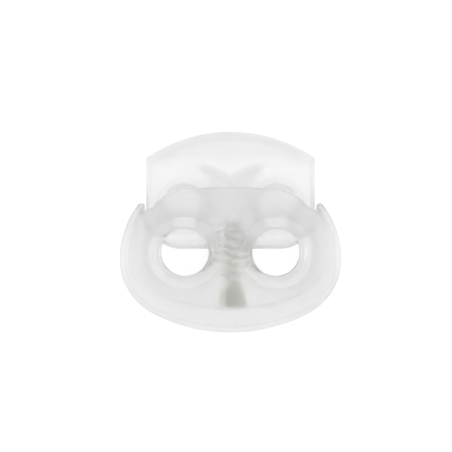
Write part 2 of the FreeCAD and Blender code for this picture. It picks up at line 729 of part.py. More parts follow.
def make_spring():
    """Compression spring from the barrel's floor to the ceiling of the plunger's pocket."""
    body = make_body("coil_spring")
    sketch = make_sketch(body, "wire_section", "XY_Plane")
    centre = point(SIZES["spring_radius"], 0)
    sketch.addGeometry(Part.Circle(centre, Z_UP, SIZES["wire_radius"]), False)
    fix(sketch, "PointOnObject", 0, 3, -1)
    bind(sketch, "Radius", 0, to="sizes.wire_radius")
    bind(sketch, "DistanceX", *ORIGIN, 0, 3, to="sizes.spring_radius")
    coil = add_feature(
        body, "AdditiveHelix", "coil", sketch,
        Mode="height-turns-angle", ReferenceAxis=(sketch, ["V_Axis"]))
    room = "sizes.floor_below + sizes.hole_above + sizes.travel + sizes.pocket_ceiling"
    coil.setExpression("Height", room + " - 2 * (sizes.wire_radius + sizes.spring_end_gap)")
    coil.setExpression("Turns", "sizes.spring_turns")
    body.setExpression(
        "Placement.Base.y",
        "sizes.barrel_below - sizes.floor_below + sizes.spring_end_gap + sizes.wire_radius - "
        + HALF_HEIGHT)
    body.setExpression("Placement.Base.z", "sizes.barrel_depth / 2")
    return body


# ---------------------------------------------------------------- build, check and write

def check(parts):
    """Stop with a message if any feature failed or any piece isn't one sound solid."""
    for item in doc.Objects:
        if "Invalid" in item.State or "Error" in item.State:
            raise RuntimeError(f"{item.Name} failed: {item.State}")
        if item.TypeId == "Sketcher::SketchObject" and not item.FullyConstrained:
            raise RuntimeError(f"{item.Name} is not fully constrained")
    for part in parts:
        shape = part.Shape
        if shape.isNull() or not shape.isValid() or len(shape.Solids) != 1:
            raise RuntimeError(f"{part.Label} is not one valid solid")
        print(f"{part.Label}: {shape.Volume:.1f} mm3")


make_sheet()
pieces = [make_barrel(), make_plunger(), make_spring()]
doc.recompute()
check(pieces)
os.makedirs("parts", exist_ok=True)
for piece in pieces:
    piece.Shape.exportStep(f"parts/{piece.Label}.step")
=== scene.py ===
import json
import math

import bpy
import numpy as np
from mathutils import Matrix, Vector


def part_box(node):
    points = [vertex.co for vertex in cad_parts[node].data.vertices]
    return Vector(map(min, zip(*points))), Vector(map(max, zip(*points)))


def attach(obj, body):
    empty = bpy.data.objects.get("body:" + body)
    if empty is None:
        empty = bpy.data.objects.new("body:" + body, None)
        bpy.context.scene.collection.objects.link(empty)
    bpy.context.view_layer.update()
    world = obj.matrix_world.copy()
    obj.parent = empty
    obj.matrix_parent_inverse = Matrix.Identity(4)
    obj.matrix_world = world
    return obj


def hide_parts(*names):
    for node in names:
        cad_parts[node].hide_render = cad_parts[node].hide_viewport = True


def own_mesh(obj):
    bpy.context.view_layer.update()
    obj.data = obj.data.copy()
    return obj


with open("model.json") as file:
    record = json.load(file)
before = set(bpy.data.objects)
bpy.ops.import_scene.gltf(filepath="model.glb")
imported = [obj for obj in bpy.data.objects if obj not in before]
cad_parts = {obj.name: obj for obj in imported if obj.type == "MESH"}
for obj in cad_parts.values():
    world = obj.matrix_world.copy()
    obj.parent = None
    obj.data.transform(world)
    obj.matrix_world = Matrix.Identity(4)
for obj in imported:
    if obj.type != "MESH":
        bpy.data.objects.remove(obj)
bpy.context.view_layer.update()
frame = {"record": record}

# A two-hole cord lock of clear plastic, lying on its back with the plunger released.
# Shapes are worked out in millimetres, in the CAD frame: +X across the cord holes, +Y
# out of the mouth, +Z along the cord holes. Each moulding is the zero surface of a
# signed field (negative inside), netted on a fine grid and then pulled onto the surface.

MM = 0.001
JOINT = frame["record"]["behaviour"]["joints"][0]
TRAVEL = JOINT["range_m"][1] / MM
MOUNTS = {mount["name"]: mount for mount in frame["record"]["mounts"]}
THROAT = MOUNTS["front_throat_right"]
HOLE_X = THROAT["pos_m"][0] / MM
HOLE_Y = THROAT["pos_m"][1] / MM
THROAT_RADIUS = THROAT["dims"]["r_mm"]
BUTTON_HOLE_Y = HOLE_Y + TRAVEL
BUTTON_HOLE_RADIUS = MOUNTS["plunger_hole_right"]["dims"]["r_mm"]


def cad_box(node):
    """Lowest and highest corners of a CAD node at rest, in millimetres."""
    return [Vector(corner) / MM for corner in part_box(node)]


BARREL_LOW, BARREL_HIGH = cad_box("barrel_body")
BUTTON_LOW, BUTTON_HIGH = cad_box("plunger_button")
SPRING_LOW, SPRING_HIGH = cad_box("coil_spring")
MID_Z = (BARREL_LOW.z + BARREL_HIGH.z) / 2


# ------------------------------------------------------------------ field tools

def round_and(first, second, radius):
    """Where both solids are, with the edge between them rounded."""
    inner = np.minimum(np.maximum(first, second), -radius)
    return inner + np.hypot(np.maximum(first + radius, 0), np.maximum(second + radius, 0))


def round_or(first, second, radius):
    """Both solids together, with a fillet where they meet."""
    outer = np.maximum(np.minimum(first, second), radius)
    return outer - np.hypot(np.maximum(radius - first, 0), np.maximum(radius - second, 0))


def bevelled(face, side, width, drop):
    """A face with a flat bevel along the side: this wide, and this low at its edge."""
    lean = np.arctan2(drop, width)
    return np.maximum(face, (side + width) * np.sin(lean) + face * np.cos(lean))


def disc(x, y, centre_x, centre_y, radius):
    """Signed distance from a circle."""
    return np.hypot(x - centre_x, y - centre_y) - radius


def bowl(x, y, half_width, radius, below):
    """Lower half of an oval: one big arc, with a tangent round corner on each side."""
    centre_y = radius - below
    spare = radius ** 2 - half_width ** 2 - centre_y ** 2
    corner = spare / (2 * (radius - half_width))
    corner_x = half_width - corner
    beside = x * centre_y > corner_x * (centre_y - y)
    return np.where(beside, disc(x, y, corner_x, 0, corner), disc(x, y, 0, centre_y, radius))


def smooth(share):
    """Eased step from 0 to 1."""
    share = np.clip(share, 0, 1)
    return share * share * (3 - 2 * share)


# ------------------------------------------------------------------ meshing

GRID = 0.14
MARGIN = 2.5 * GRID
SLOPE_REACH = GRID / 20
PULLS = 4
FLATTEST_SLOPE = 0.1


def field_slope(field, points):
    """The field and its gradient at each point."""
    slope = np.empty_like(points)
    for axis in range(3):
        shift = np.zeros(3)
        shift[axis] = SLOPE_REACH
        slope[:, axis] = field(*(points + shift).T) - field(*(points - shift).T)
    return field(*points.T), slope / (2 * SLOPE_REACH)


def net_cells(values):
    """Where the surface runs inside each grid cell that it passes through, and those cells."""
    cells = np.array(values.shape) - 1
    hits = np.zeros(cells)
    places = np.zeros((*cells, 3))
    for axis in range(3):
        along = np.moveaxis(values, axis, 0)
        start, end = along[:-1], along[1:]
        crossed = (start < 0) != (end < 0)
        share = np.where(crossed, start / np.where(crossed, start - end, 1), 0)
        for a, b in ((0, 0), (0, 1), (1, 0), (1, 1)):
            beside = (slice(None), slice(a, crossed.shape[1] - 1 + a),
                      slice(b, crossed.shape[2] - 1 + b))
            here = np.moveaxis(crossed[beside], 0, axis)
            spot = [a, b]
            spot.insert(axis, np.moveaxis(share[beside], 0, axis))
            for i in range(3):
                places[..., i] += here * spot[i]
            hits += here
    cell = np.argwhere(hits > 0)
    return places[hits > 0] / hits[hits > 0][:, None], cell


def net_faces(values, cell):
    """One quad round each grid edge that the surface crosses, wound to face outwards."""
    number = np.full(np.array(values.shape) - 1, -1)
    number[tuple(cell.T)] = np.arange(len(cell))
    quads = []
    for axis in range(3):
        inside = np.moveaxis(values < 0, axis, 0)
        start, end = inside[:-1, 1:-1, 1:-1], inside[1:, 1:-1, 1:-1]
        ids = np.moveaxis(number, axis, 0)
        ring = [ids[:, :-1, :-1], ids[:, 1:, :-1], ids[:, 1:, 1:], ids[:, :-1, 1:]]
        if axis == 1:
            ring.reverse()
        for leaving, order in ((start & ~end, ring), (~start & end, ring[::-1])):
            quads.append(np.stack([corner[leaving] for corner in order], axis=1))
    return np.concatenate(quads)


def link_piece(name, mesh):
    """New object in the scene from a mesh, lamp or camera."""
    piece = bpy.data.objects.new(name, mesh)
    bpy.context.scene.collection.objects.link(piece)
    return piece


def mould(name, field, low, high):
    """Piece whose surface is where field(x, y, z) is zero, in quads of about one grid step."""
    box_low, box_high = np.array(low), np.array(high)
    low = box_low - MARGIN
    counts = np.ceil((box_high + MARGIN - low) / GRID).astype(int) + 1
    axes = [low[i] + GRID * np.arange(counts[i]) for i in range(3)]
    values = field(*np.meshgrid(*axes, indexing="ij"))
    place, cell = net_cells(values)
    points = low + GRID * (cell + place)
    for _ in range(PULLS):
        value, slope = field_slope(field, points)
        points -= (value / np.maximum((slope ** 2).sum(1), FLATTEST_SLOPE))[:, None] * slope
        points = np.clip(points, box_low, box_high)
    slope = field_slope(field, points)[1]
    normals = slope / np.linalg.norm(slope, axis=1)[:, None]
    mesh = bpy.data.meshes.new(name)
    mesh.from_pydata((points * MM).tolist(), [], net_faces(values, cell).tolist())
    mesh.polygons.foreach_set("use_smooth", [True] * len(mesh.polygons))
    mesh.normals_split_custom_set_from_vertices(normals.tolist())
    return link_piece(name, mesh)


def mark(piece, name, rule):
    """Store rule(x, y, z) at every vertex of a piece for its material to read."""
    points = np.empty(3 * len(piece.data.vertices))
    piece.data.vertices.foreach_get("co", points)
    layer = piece.data.attributes.new(name, "FLOAT", "POINT")
    layer.data.foreach_set("value", rule(*(points.reshape(-1, 3).T / MM)))


# ------------------------------------------------------------------ the barrel
# heights are from the line where the barrel is widest, depths from its mid-plane

HALF_WIDTH = BARREL_HIGH.x
WIDEST_Y = -2.87
SHOULDER_RADIUS = 9.2
MOUTH_RADIUS = 31.4
BOTTOM_RADIUS = 17.5
FACE_HALF = 4.15
DOME_RADIUS = 75.0
# bevel round both faces, which fades out towards the mouth
RIM_WIDTH = 0.58
RIM_DROP = 0.36
RIM_FADE_END = 4.5
RIM_FADE_SPAN = 3.0
# collars round the cord holes, and the low bridge between them
LAND = BARREL_HIGH.z - MID_Z
COLLAR_RADIUS = 3.8
COLLAR_LEAN = math.radians(33.4)
COLLAR_LIMIT = 5.5
BRIDGE_DROP = 0.12
BRIDGE_HALF = 2.4
BRIDGE_TAPER = 0.35
FUNNEL_RADIUS = 3.46
FUNNEL_DEPTH = 1.2
# slot for the plunger, its wider cavity, and the shelf beside the mouth
SLOT_HALF_DEPTH = 2.5
SLOT_HALF_WIDTH = 9.05
CAVITY_HALF_WIDTH = 9.5
LIP_BOTTOM = 5.12
FLOOR_BELOW = 5.2
FLOOR_RADIUS = 15.13
SHELF = 5.1
HORN = 5.8
TURN_X = 5.3
TURN_RADIUS = 2.7
PIN_RADIUS = 0.75
PIN_HEIGHT = 1.3
PIN_ROOT = 1.0
# roundings of edges, and fillets in corners
HORN_FILLET = 0.05
SHELF_FILLET = 0.3
CAVITY_ROUND = 0.15
LIP_FILLET = 0.1
SLOT_ROUND = 0.25
COLLAR_ROUND = 0.3
OUTLINE_ROUND = 0.05
FACE_ROUND = 0.15
COLLAR_FILLET = 0.8
BRIDGE_FILLET = 0.5
FUNNEL_ROUND = 0.1
SLOT_MOUTH_ROUND = 0.12
PIN_ROUND = 0.3
PIN_FILLET = 0.2
# polish: where it ends round a cord hole, over what span, and how far it keeps off the slot
POLISH_END = 3.7
POLISH_SPAN = 0.3
POLISH_CLEAR = 0.1
# painted shade, how much darker: the face inside the rim, and the part of each funnel's wall by
# the spring, where it paints the spring's dark reflection
INSIDE_DARK = 0.02
INSIDE_SPAN = 0.1
WALL_DARK = 0.12
WALL_RADIUS = 3.0
WALL_WIDTH = 0.35
WALL_SIDE_SPAN = 2.0
WALL_TOP = 0.5
WALL_TOP_SPAN = 1.5


def barrel_oval(x, y):
    """The barrel's outline without its mouth."""
    lower = bowl(x, y, HALF_WIDTH, BOTTOM_RADIUS, WIDEST_Y - BARREL_LOW.y)
    shoulder_x = HALF_WIDTH - SHOULDER_RADIUS
    upper = disc(np.maximum(x, shoulder_x), y, shoulder_x, 0, SHOULDER_RADIUS)
    return np.where(y < 0, lower, upper)


def mouth_edge(x, y):
    """Upper edge of both walls: an arch that turns down to a shelf, then a horn each side."""
    arch_y = BARREL_HIGH.y - WIDEST_Y - MOUTH_RADIUS
    turn_y = arch_y + math.sqrt((MOUTH_RADIUS - TURN_RADIUS) ** 2 - TURN_X ** 2)
    beside = x * (turn_y - arch_y) > TURN_X * (y - arch_y)
    turn = disc(x, y, TURN_X, turn_y, TURN_RADIUS)
    arch = np.where(beside, turn, disc(x, y, 0, arch_y, MOUTH_RADIUS))
    horn = np.maximum(SLOT_HALF_WIDTH - x, y - HORN)
    return round_or(round_or(arch, y - SHELF, SHELF_FILLET), horn, HORN_FILLET)


def barrel_slot(x, y, z):
    """The space for the plunger: a wide cavity, and a narrower slot above it."""
    floor = bowl(x, y, CAVITY_HALF_WIDTH, FLOOR_RADIUS, FLOOR_BELOW)
    wide = np.where(y < 0, floor, x - CAVITY_HALF_WIDTH)
    cavity = round_and(wide, y - LIP_BOTTOM, CAVITY_ROUND)
    slot = np.maximum(x - SLOT_HALF_WIDTH, -y)
    return round_and(round_or(cavity, slot, LIP_FILLET), z - SLOT_HALF_DEPTH, SLOT_ROUND)


def collars(x, y, z, radius):
    """What stands above one face: a flat collar round each hole and the bridge."""
    flank = (radius - COLLAR_RADIUS) * math.sin(COLLAR_LEAN) + (z - LAND) * math.cos(COLLAR_LEAN)
    collar = np.maximum(round_and(flank, z - LAND, COLLAR_ROUND), radius - COLLAR_LIMIT)
    beside = np.abs(y - HOLE_Y + WIDEST_Y) + BRIDGE_TAPER * x - BRIDGE_HALF
    bridge = np.maximum(z - LAND + BRIDGE_DROP, np.maximum(beside, x - HOLE_X))
    return collar, bridge


def cord_hole(z, radius):
    """A throat that flares out to a round funnel in the face."""
    widening = FUNNEL_RADIUS - THROAT_RADIUS
    flare = (widening ** 2 + FUNNEL_DEPTH ** 2) / (2 * widening)
    level = np.maximum(z - (LAND - FUNNEL_DEPTH), 0)
    return np.hypot(np.minimum(radius - THROAT_RADIUS - flare, 0), level) - flare


def barrel_field(x, y, z):
    """The whole barrel: domed oval, collars, bridge, cord holes, slot and pin."""
    x = np.abs(x)
    y = y - WIDEST_Y
    z = np.abs(z - MID_Z)
    radius = np.hypot(x - HOLE_X, y - (HOLE_Y - WIDEST_Y))
    dome = np.sqrt(x ** 2 + y ** 2 + (z + DOME_RADIUS - FACE_HALF) ** 2) - DOME_RADIUS
    oval = barrel_oval(x, y)
    drop = RIM_DROP * smooth((RIM_FADE_END - y) / RIM_FADE_SPAN)
    outline = round_and(oval, mouth_edge(x, y), OUTLINE_ROUND)
    shell = round_and(outline, bevelled(dome, oval, RIM_WIDTH, drop), FACE_ROUND)
    collar, bridge = collars(x, y, z, radius)
    shell = round_or(round_or(shell, collar, COLLAR_FILLET), bridge, BRIDGE_FILLET)
    shell = round_and(shell, cord_hole(z, radius), FUNNEL_ROUND)
    shell = round_and(shell, -barrel_slot(x, y, z), SLOT_MOUTH_ROUND)
    pin = round_and(np.hypot(x, z) - PIN_RADIUS, y + FLOOR_BELOW - PIN_HEIGHT, PIN_ROUND)
    pin = np.maximum(pin, -y - FLOOR_BELOW - PIN_ROOT)
    return round_or(shell, pin, PIN_FILLET)


def barrel_rim(x, y, z):
    """0 at the barrel's outline, 0.5 where its bevel ends."""
    return -barrel_oval(np.abs(x), y - WIDEST_Y) / (2 * RIM_WIDTH)


def barrel_polish(x, y, z):
    """1 on the funnels and throats, which are smoother than the faces."""
    slot = barrel_slot(np.abs(x), y - WIDEST_Y, np.abs(z - MID_Z))
    radius = np.hypot(np.abs(x) - HOLE_X, y - HOLE_Y)
    near = smooth((POLISH_END - radius) / POLISH_SPAN)
    return near * smooth((slot - POLISH_CLEAR) / (2 * POLISH_CLEAR))


def barrel_painted_shade(x, y, z):
    """Painted shade: slightly darker inside the rim, and on the funnels' walls beside the spring
    as a painted reflection of it.
    """
    x = np.abs(x)
    inside = smooth(-(barrel_oval(x, y - WIDEST_Y) + RIM_WIDTH) / INSIDE_SPAN)
    radius = np.hypot(x - HOLE_X, y - HOLE_Y)
    wall = np.exp(-((radius - WALL_RADIUS) / WALL_WIDTH) ** 2)
    wall = wall * smooth((HOLE_X - x) / WALL_SIDE_SPAN)
    wall = wall * smooth((HOLE_Y + WALL_TOP - y) / WALL_TOP_SPAN)
    return 1 - INSIDE_DARK * inside - WALL_DARK * wall


# ------------------------------------------------------------------ the plunger
# heights are from its two cord holes, depths from its mid-plane

BUTTON_HALF_WIDTH = 8.8
BUTTON_HALF_DEPTH = (BUTTON_HIGH.z - BUTTON_LOW.z) / 2
CROWN = BUTTON_HIGH.y - BUTTON_HOLE_Y
FOOT = BUTTON_LOW.y - BUTTON_HOLE_Y
HEAD_RADIUS = 15.5
TOE_RADIUS = 3.6
# width and drop of the bevels under the arch and along the sides
HEAD_BEVEL = (0.9, 0.5)
SIDE_BEVEL = (0.42, 0.4)
BUTTON_HOLE_EDGE = 1.1
# wing-shaped hollow in each face of the head, clear of the cord holes
WING_RADIUS = 5.63
WING_X = 3.45
WING_Y = -0.87
WING_SPAN = 4.1
WING_FADE = 1.2
WING_DEPTH = 0.35
WING_SLOPE = 1.2
WING_CLEAR = 4.3
# below the grip both faces sink by this much
GRIP_BOTTOM = 5.6
GRIP_SLOPE = 1.6
GRIP_STEP = 0.35
# lug that catches under the barrel's lip on each side, with a ramp below it
LUG_TOP = -0.36
LUG_HEIGHT = 0.6
LUG_HALF_DEPTH = 1.3
LUG_ROOT = 7.9
RAMP_LEAN = math.atan2(1.4, 1.25)
LUG_ROUND = 0.15
LUG_FILLET = 0.08
POCKET_RADIUS = 1.65
POCKET_CEILING = -1.77
# roundings of the other edges
SIDE_ROUND = 0.2
HEAD_ROUND = 0.3
CORNER_ROUND = 0.1
CEILING_ROUND = 0.3
POCKET_MOUTH_ROUND = 0.15
# how much painted shade darkens each part of the plunger
WING_DARK = 0.14
GRIP_DARK = 0.065
HOLE_DARK = 0.03
RING_DARK = 0.05
HOLE_WALL_DARK = 0.24
FOOT_DARK = 0.08
EDGE_DARK = 0.07
# the wing's painted shade, a dark band: inwards from its round edge, up from its foot, and clear
# of the hole
WING_TONE_START = 0.1
WING_TONE_RISE = 0.35
WING_TONE_END = 2.8
WING_TONE_FALL = 2.0
WING_TONE_FOOT = 1.6
WING_TONE_FOOT_SPAN = 0.8
WING_TONE_SIDE_SPAN = 1.5
WING_TONE_CLEAR = 3.3
# the grip's painted shade, from this height up
GRIP_TONE_START = 4.75
GRIP_TONE_SPAN = 0.9
# the cord hole's painted shade: its mouth, a ring in that, and its wall, which is darker in its
# upper part
HOLE_TONE_END = 3.05
HOLE_TONE_SPAN = 0.15
RING_RADIUS = 2.9
RING_WIDTH = 0.16
WALL_TONE_END = 2.6
WALL_TONE_SPAN = 0.25
LOWER_WALL_SHARE = 0.4
UPPER_WALL_START = 1.2
UPPER_WALL_SPAN = 0.5
# the foot's painted shade, from this height down, and the painted shade up both sides of the head
FOOT_TONE_TOP = -3.2
FOOT_TONE_SPAN = 0.4
EDGE_TONE_WIDTH = 0.5
EDGE_TONE_SPAN = 0.15
EDGE_TONE_FADE = 0.6


def wing_reach(x, y):
    """How far inside the wing's round upper edge a place is."""
    return WING_RADIUS - np.hypot(x - WING_X, y - WING_Y)


def button_sides(x, y):
    """The plunger's straight sides and round toes."""
    return round_and(x - BUTTON_HALF_WIDTH, FOOT - y, TOE_RADIUS)


def button_head(x, y):
    """The arch of the plunger's head."""
    return disc(x, y, 0, CROWN - HEAD_RADIUS, HEAD_RADIUS)


def button_lug(x, y, z):
    """The lug on one side, flat on top and leaning in below."""
    over = x - BUTTON_HIGH.x
    ramp = over * math.cos(RAMP_LEAN) - (y - LUG_TOP + LUG_HEIGHT) * math.sin(RAMP_LEAN)
    lug = np.maximum(np.maximum(over, y - LUG_TOP), ramp)
    return np.maximum(round_and(lug, z - LUG_HALF_DEPTH, LUG_ROUND), LUG_ROOT - x)


def button_field(x, y, z):
    """The whole plunger: head, toes, lugs, cord holes, hollows and the spring's pocket."""
    x = np.abs(x)
    y = y - BUTTON_HOLE_Y
    z = np.abs(z - MID_Z)
    head = button_head(x, y)
    sides = button_sides(x, y)
    radius = np.hypot(x - HOLE_X, y)
    wing = smooth(wing_reach(x, y) / WING_SLOPE) * smooth((WING_SPAN - x) / WING_FADE)
    wing = wing * smooth((radius - WING_CLEAR) / WING_SLOPE + 1)
    sunk = WING_DEPTH * wing + GRIP_STEP * smooth((GRIP_BOTTOM - y) / GRIP_SLOPE)
    face = z - BUTTON_HALF_DEPTH + sunk
    solid = round_and(bevelled(face, sides, *SIDE_BEVEL), sides, SIDE_ROUND)
    arch = round_and(bevelled(face, head, *HEAD_BEVEL), head, HEAD_ROUND)
    solid = round_or(round_and(solid, arch, CORNER_ROUND), button_lug(x, y, z), LUG_FILLET)
    solid = round_and(solid, BUTTON_HOLE_RADIUS - radius, BUTTON_HOLE_EDGE)
    pocket = round_and(np.hypot(x, z) - POCKET_RADIUS, y - POCKET_CEILING, CEILING_ROUND)
    return round_and(solid, -pocket, POCKET_MOUTH_ROUND)


def button_rim(x, y, z):
    """0 at the plunger's outline, 0.5 where its bevels end."""
    head = button_head(np.abs(x), y - BUTTON_HOLE_Y)
    sides = button_sides(np.abs(x), y - BUTTON_HOLE_Y)
    return np.minimum(-head / (2 * HEAD_BEVEL[0]), -sides / (2 * SIDE_BEVEL[0]))


def button_polish(x, y, z):
    """0 all over: the plunger is matt everywhere."""
    return np.zeros_like(x)


def button_wing_painted_shade(x, y, radius):
    """Painted shade mask: 1 along the wing's round edge, fading inwards, at its foot and end and
    by the hole.
    """
    reach = wing_reach(x, y)
    band = smooth((reach - WING_TONE_START) / WING_TONE_RISE)
    band = band * smooth((WING_TONE_END - reach) / WING_TONE_FALL)
    band = band * smooth((y - WING_TONE_FOOT) / WING_TONE_FOOT_SPAN)
    return band * smooth((WING_SPAN - x) / WING_TONE_SIDE_SPAN) * smooth(radius - WING_TONE_CLEAR)


def button_painted_shade(x, y, z):
    """Painted shade: darker in the wings, on the grip, round the cord holes, at the foot and up
    the sides.
    """
    x = np.abs(x)
    y = y - BUTTON_HOLE_Y
    radius = np.hypot(x - HOLE_X, y)
    wing = button_wing_painted_shade(x, y, radius)
    grip = smooth((y - GRIP_TONE_START) / GRIP_TONE_SPAN)
    mouth = smooth((HOLE_TONE_END - radius) / HOLE_TONE_SPAN)
    ring = np.exp(-((radius - RING_RADIUS) / RING_WIDTH) ** 2)
    upper = smooth((y - UPPER_WALL_START) / UPPER_WALL_SPAN)
    wall = smooth((WALL_TONE_END - radius) / WALL_TONE_SPAN)
    wall = wall * (LOWER_WALL_SHARE + (1 - LOWER_WALL_SHARE) * upper)
    foot = smooth((FOOT_TONE_TOP - y) / FOOT_TONE_SPAN)
    edge = smooth((button_sides(x, y) + EDGE_TONE_WIDTH) / EDGE_TONE_SPAN)
    edge = edge * smooth(y / EDGE_TONE_FADE + 1)
    dark = WING_DARK * wing + GRIP_DARK * grip + HOLE_DARK * mouth + RING_DARK * ring
    return 1 - dark - HOLE_WALL_DARK * wall - FOOT_DARK * foot - EDGE_DARK * edge


# ------------------------------------------------------------------ the spring

WIRE_RADIUS = 0.18
WIRE_SIDES = 14
STEPS_PER_TURN = 40
# the lower end stands this far to the right of the pocket
SPRING_LEAN = 0.25
# turns that lie against each other at the floor, then free turns, then a closed end
LOW_TURNS = 5.5
FREE_TURNS = 7.0
HIGH_TURNS = 0.5
CLOSED_PITCH = 2.06 * WIRE_RADIUS
# steps over which the pitch eases from closed to free, on each side of the change
PITCH_EASING = 8


def spring_wire():
    """Steel spring from the barrel's floor to the plunger's pocket."""
    coil_radius = SPRING_HIGH.x - WIRE_RADIUS
    low = SPRING_LOW.y + WIRE_RADIUS
    height = SPRING_HIGH.y - WIRE_RADIUS - low
    turns = LOW_TURNS + FREE_TURNS + HIGH_TURNS
    free_pitch = (height - (LOW_TURNS + HIGH_TURNS) * CLOSED_PITCH) / FREE_TURNS
    turn = np.linspace(0, turns, round(turns * STEPS_PER_TURN) + 1)
    closed = (turn < LOW_TURNS) | (turn > turns - HIGH_TURNS)
    pitch = np.where(closed, CLOSED_PITCH, free_pitch)
    easing = np.hanning(2 * PITCH_EASING + 1)
    padded = np.pad(pitch, PITCH_EASING, mode="edge")
    pitch = np.convolve(padded, easing / easing.sum(), mode="valid")
    rise = np.concatenate([[0], np.cumsum((pitch[1:] + pitch[:-1]) / 2 * np.diff(turn))])
    angle = 2 * math.pi * turn
    out = np.stack([np.cos(angle), np.zeros_like(angle), np.sin(angle)], axis=1)
    path = coil_radius * out
    path[:, 1] = low + height * rise / rise[-1]
    path[:, 0] += SPRING_LEAN * (1 - rise / rise[-1])
    path[:, 2] += MID_Z
    tangent = np.gradient(path, axis=0)
    side = np.cross(tangent / np.linalg.norm(tangent, axis=1)[:, None], out)
    around = 2 * math.pi * np.arange(WIRE_SIDES)[None, :, None] / WIRE_SIDES
    spokes = np.cos(around) * out[:, None] + np.sin(around) * side[:, None]
    rings = path[:, None] + WIRE_RADIUS * spokes
    faces = []
    for start in range(0, (len(path) - 1) * WIRE_SIDES, WIRE_SIDES):
        for i in range(WIRE_SIDES):
            here, beside = start + i, start + (i + 1) % WIRE_SIDES
            faces.append((here, beside, beside + WIRE_SIDES, here + WIRE_SIDES))
    sides = len(faces)
    faces.append(tuple(range(WIRE_SIDES - 1, -1, -1)))
    faces.append(tuple(range(sides, sides + WIRE_SIDES)))
    mesh = bpy.data.meshes.new("spring_wire")
    mesh.from_pydata((rings.reshape(-1, 3) * MM).tolist(), [], faces)
    mesh.polygons.foreach_set("use_smooth", [True] * sides + [False, False])
    return link_piece("spring_wire", mesh)


# ------------------------------------------------------------------ materials

FACE_ROUGHNESS = (0.285, 0.295)
POLISHED_ROUGHNESS = 0.1
# painted shade along the rim, as greys at shares of it: outline, bevel, bevel's end, face
BARREL_RIM_PAINTED_SHADE = ((0.0, 0.8), (0.1, 1.0), (0.44, 1.0), (0.5, 0.82), (0.56, 0.98), (0.9, 0.98))
BUTTON_RIM_PAINTED_SHADE = ((0.0, 0.88), (0.05, 0.93), (0.45, 0.9), (0.515, 0.95), (0.6, 0.98), (0.9, 0.98))
PLASTIC_SHADES = (0.995, 1.0)
PLASTIC_MOTTLE = (700, 700, 700)
PLASTIC_BUMP = 2e-6
BARREL_CLEARNESS = 0.95
BUTTON_CLEARNESS = 0.9
IOR = 1.49
HAZE = 60.0
HAZE_FORWARD = 0.7
SHADOW_CLEARNESS = 0.97
WIRE_GREYS = ((0.72, 0.72, 0.66, 1), (0.88, 0.88, 0.81, 1))
WIRE_ROUGHNESS = (0.28, 0.42)
WIRE_MOTTLE = (900, 6000, 900)
WIRE_BUMP = 4e-6


def new_material(name):
    """Material with nodes, its nodes and its links."""
    material = bpy.data.materials.new(name)
    material.use_nodes = True
    return material, material.node_tree.nodes, material.node_tree.links


def vary(nodes, links, source, low, high):
    """Output that runs from low to high as the source runs from 0 to 1."""
    spread = nodes.new("ShaderNodeMapRange")
    spread.inputs["To Min"].default_value = low
    spread.inputs["To Max"].default_value = high
    links.new(source, spread.inputs["Value"])
    return spread.outputs["Result"]


def attribute(nodes, name):
    """Output that reads a number stored at the vertices."""
    reader = nodes.new("ShaderNodeAttribute")
    reader.attribute_name = name
    return reader.outputs["Fac"]


def mottle(nodes, links, shader, stretch, height):
    """Fine noise over a surface, also felt as a slight bump."""
    place = nodes.new("ShaderNodeTexCoord")
    mapping = nodes.new("ShaderNodeMapping")
    mapping.inputs["Scale"].default_value = stretch
    noise = nodes.new("ShaderNodeTexNoise")
    noise.inputs["Scale"].default_value = 1.0
    noise.inputs["Detail"].default_value = 3.0
    bump = nodes.new("ShaderNodeBump")
    bump.inputs["Strength"].default_value = 0.5
    bump.inputs["Distance"].default_value = height
    links.new(place.outputs["Object"], mapping.inputs["Vector"])
    links.new(mapping.outputs["Vector"], noise.inputs["Vector"])
    links.new(noise.outputs["Fac"], bump.inputs["Height"])
    links.new(bump.outputs["Normal"], shader.inputs["Normal"])
    return noise.outputs["Fac"]


def multiply(nodes, links, first, second):
    """Output with the product of two greys."""
    product = nodes.new("ShaderNodeMix")
    product.data_type = "RGBA"
    product.blend_type = "MULTIPLY"
    product.inputs["Factor"].default_value = 1.0
    links.new(first, product.inputs["A"])
    links.new(second, product.inputs["B"])
    return product.outputs["Result"]


